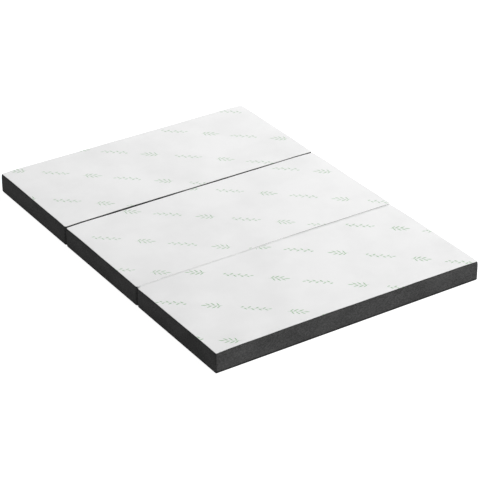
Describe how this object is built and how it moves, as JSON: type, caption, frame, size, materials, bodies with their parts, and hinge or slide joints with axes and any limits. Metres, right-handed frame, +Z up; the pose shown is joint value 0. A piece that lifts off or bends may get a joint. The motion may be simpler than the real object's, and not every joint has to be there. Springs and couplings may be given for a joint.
{
  "type": "folding mattress",
  "caption": "Three-section folding foam mattress with a pale printed top and a dark border, hinged by cloth strips so that it folds into a Z.",
  "frame": {"origin": "centre of the plan, on the surface that the mattress lies on", "axes": "+Z up, +Y along the length towards the head end, +X across the width towards the side with the zips"},
  "size_m": [1.37, 1.9, 0.102],
  "materials": {
    "top_knit": "matte",
    "border_knit": "matte",
    "base_cloth": "matte",
    "foam": "matte",
    "hinge_tape_dark": "matte",
    "hinge_tape_white": "matte",
    "zip_tape": "matte",
    "zip_coil": "satin",
    "zip_metal": "satin"
  },
  "bodies": {
    "middle": {"middle_foam_core": "foam", "middle_border": "border_knit", "middle_top_panel": "top_knit", "middle_base_panel": "base_cloth", "middle_zip_tape_upper": "zip_tape", "middle_zip_tape_lower": "zip_tape", "middle_zip_coil_upper": "zip_coil", "middle_zip_coil_lower": "zip_coil", "middle_zip_stop_upper": "zip_metal", "middle_zip_stop_lower": "zip_metal", "middle_zip_stop_end": "zip_metal", "lower_hinge_tape_middle_half": "hinge_tape_dark", "upper_hinge_tape_middle_half": "hinge_tape_white"},
    "head": {"head_foam_core": "foam", "head_border": "border_knit", "head_top_panel": "top_knit", "head_base_panel": "base_cloth", "head_zip_tape_upper": "zip_tape", "head_zip_tape_lower": "zip_tape", "head_zip_coil_upper": "zip_coil", "head_zip_coil_lower": "zip_coil", "head_zip_stop_upper": "zip_metal", "head_zip_stop_lower": "zip_metal", "head_zip_stop_end": "zip_metal", "lower_hinge_tape_head_half": "hinge_tape_dark"},
    "foot": {"foot_foam_core": "foam", "foot_border": "border_knit", "foot_top_panel": "top_knit", "foot_base_panel": "base_cloth", "foot_zip_tape_upper": "zip_tape", "foot_zip_tape_lower": "zip_tape", "foot_zip_coil_upper": "zip_coil", "foot_zip_coil_lower": "zip_coil", "foot_zip_stop_upper": "zip_metal", "foot_zip_stop_lower": "zip_metal", "foot_zip_stop_end": "zip_metal", "upper_hinge_tape_foot_half": "hinge_tape_white"},
    "head_slider": {"head_zip_slider": "zip_metal"},
    "head_pull": {"head_zip_pull": "zip_metal"},
    "middle_slider": {"middle_zip_slider": "zip_metal"},
    "middle_pull": {"middle_zip_pull": "zip_metal"},
    "foot_slider": {"foot_zip_slider": "zip_metal"},
    "foot_pull": {"foot_zip_pull": "zip_metal"}
  },
  "joints": [
    {"name": "head_fold", "type": "hinge", "parent": "middle", "child": "head", "pos_m": [0, 0.31708, -0.00015], "axis": [-1, 0, 0], "range_deg": [0, 180]},
    {"name": "foot_fold", "type": "hinge", "parent": "middle", "child": "foot", "pos_m": [0, -0.31708, 0.10215], "axis": [-1, 0, 0], "range_deg": [0, 180]},
    {"name": "head_zip_travel", "type": "slide", "parent": "head", "child": "head_slider", "axis": [0, -1, 0], "range_m": [0, 0.49907]},
    {"name": "head_pull_swing", "type": "hinge", "parent": "head_slider", "child": "head_pull", "pos_m": [0.6832, 0.8837, 0.051], "axis": [0, 0, -1], "range_deg": [0, 180]},
    {"name": "middle_zip_travel", "type": "slide", "parent": "middle", "child": "middle_slider", "axis": [0, -1, 0], "range_m": [0, 0.49907]},
    {"name": "middle_pull_swing", "type": "hinge", "parent": "middle_slider", "child": "middle_pull", "pos_m": [0.6832, 0.24953, 0.051], "axis": [0, 0, -1], "range_deg": [0, 180]},
    {"name": "foot_zip_travel", "type": "slide", "parent": "foot", "child": "foot_slider", "axis": [0, -1, 0], "range_m": [0, 0.49907]},
    {"name": "foot_pull_swing", "type": "hinge", "parent": "foot_slider", "child": "foot_pull", "pos_m": [0.6832, -0.38463, 0.051], "axis": [0, 0, -1], "range_deg": [0, 180]}
  ]
}
